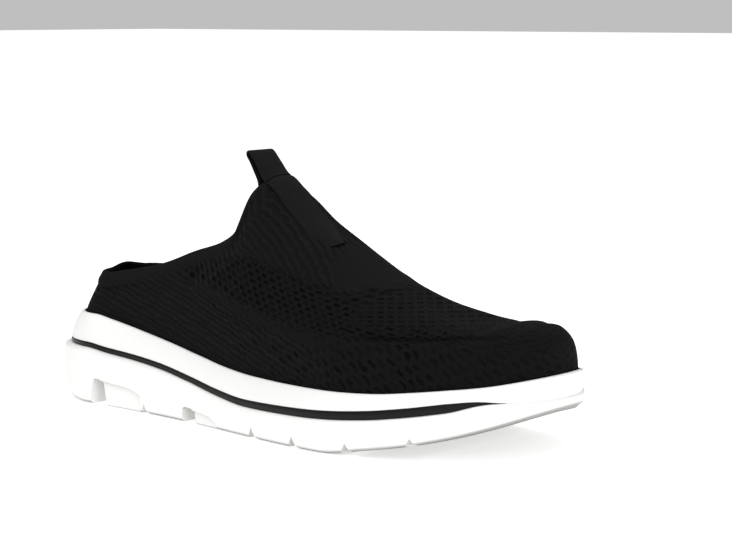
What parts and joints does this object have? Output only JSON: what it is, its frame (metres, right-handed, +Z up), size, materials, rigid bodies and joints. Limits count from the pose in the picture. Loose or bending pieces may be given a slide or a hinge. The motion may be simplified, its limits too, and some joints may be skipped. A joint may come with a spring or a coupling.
{
  "type": "slip-on shoe",
  "caption": "Right knitted slip-on walking shoe with a low closed heel, a pull loop on the tongue and a thick white foam sole with a dark side stripe.",
  "frame": {"origin": "middle of the footprint on the floor", "axes": "+X towards the toe, +Y towards the inner (big toe) side, +Z up"},
  "size_m": [0.29, 0.1044, 0.1271],
  "materials": {
    "sole_foam": "matte moulded foam",
    "stripe_rubber": "satin",
    "knit": "flat knit",
    "insole_fabric": "brushed lining",
    "webbing": "smooth woven tape"
  },
  "bodies": {
    "root": {"sole_unit": "sole_foam", "side_stripe": "stripe_rubber", "upper": "knit", "insole": "insole_fabric", "pull_strap": "webbing"}
  },
  "joints": []
}
